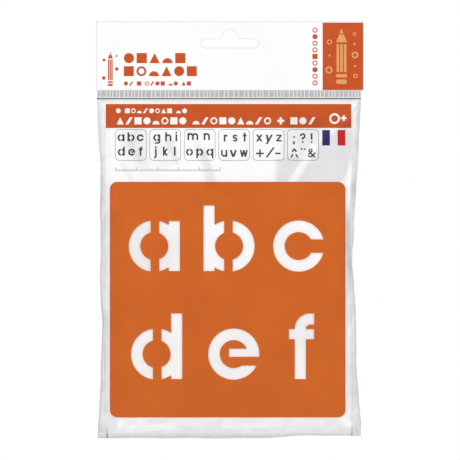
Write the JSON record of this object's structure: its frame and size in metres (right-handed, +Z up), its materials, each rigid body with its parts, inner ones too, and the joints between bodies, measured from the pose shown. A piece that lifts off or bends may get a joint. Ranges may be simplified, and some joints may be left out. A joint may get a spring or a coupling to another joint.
{
  "type": "lettering stencil set in a hanging pack",
  "caption": "Thin orange letter stencil sheets and an insert card in a clear film bag that hangs from a folded header card with a hang slot.",
  "frame": {"origin": "centre of the hang slot's round part, midway between the header card's two flaps", "axes": "+Z up the hanging pack, -Y out of its printed front, +X to the right seen from the front"},
  "size_m": [0.1646, 0.0045, 0.257],
  "materials": {
    "white_card": "smooth coated board, printed",
    "clear_film": "clear glossy polypropylene film",
    "crimped_film": "heat-sealed ribbed film",
    "orange_plastic": "satin die-cut sheet"
  },
  "bodies": {
    "header": {"header_card": "white_card", "top_crimp": "crimped_film"},
    "bag": {"bag_front_panel": "clear_film", "bag_back_panel": "clear_film", "left_gusset": "clear_film", "right_gusset": "clear_film", "bottom_weld": "clear_film"},
    "insert": {"insert_card": "white_card"},
    "stencil_a_to_f_sheet": {"stencil_a_to_f": "orange_plastic"},
    "stencil_g_to_l_sheet": {"stencil_g_to_l": "orange_plastic"},
    "stencil_m_to_q_sheet": {"stencil_m_to_q": "orange_plastic"},
    "stencil_r_to_w_sheet": {"stencil_r_to_w": "orange_plastic"},
    "stencil_x_y_z_plus_sheet": {"stencil_x_y_z_plus": "orange_plastic"},
    "stencil_signs_sheet": {"stencil_signs": "orange_plastic"}
  },
  "joints": [
    {"name": "bag_fold", "type": "hinge", "parent": "header", "child": "bag", "pos_m": [0, 0, -0.03715], "axis": [1, 0, 0], "range_deg": [-140, 140]},
    {"name": "insert_slide", "type": "slide", "parent": "bag", "child": "insert", "axis": [0, 0, 1], "range_m": [0, 0.001]},
    {"name": "stencil_a_to_f_slide", "type": "slide", "parent": "bag", "child": "stencil_a_to_f_sheet", "axis": [0, 0, 1], "range_m": [0, 0.044]},
    {"name": "stencil_g_to_l_slide", "type": "slide", "parent": "bag", "child": "stencil_g_to_l_sheet", "axis": [0, 0, 1], "range_m": [0, 0.044]},
    {"name": "stencil_m_to_q_slide", "type": "slide", "parent": "bag", "child": "stencil_m_to_q_sheet", "axis": [0, 0, 1], "range_m": [0, 0.044]},
    {"name": "stencil_r_to_w_slide", "type": "slide", "parent": "bag", "child": "stencil_r_to_w_sheet", "axis": [0, 0, 1], "range_m": [0, 0.044]},
    {"name": "stencil_x_y_z_plus_slide", "type": "slide", "parent": "bag", "child": "stencil_x_y_z_plus_sheet", "axis": [0, 0, 1], "range_m": [0, 0.044]},
    {"name": "stencil_signs_slide", "type": "slide", "parent": "bag", "child": "stencil_signs_sheet", "axis": [0, 0, 1], "range_m": [0, 0.044]}
  ]
}
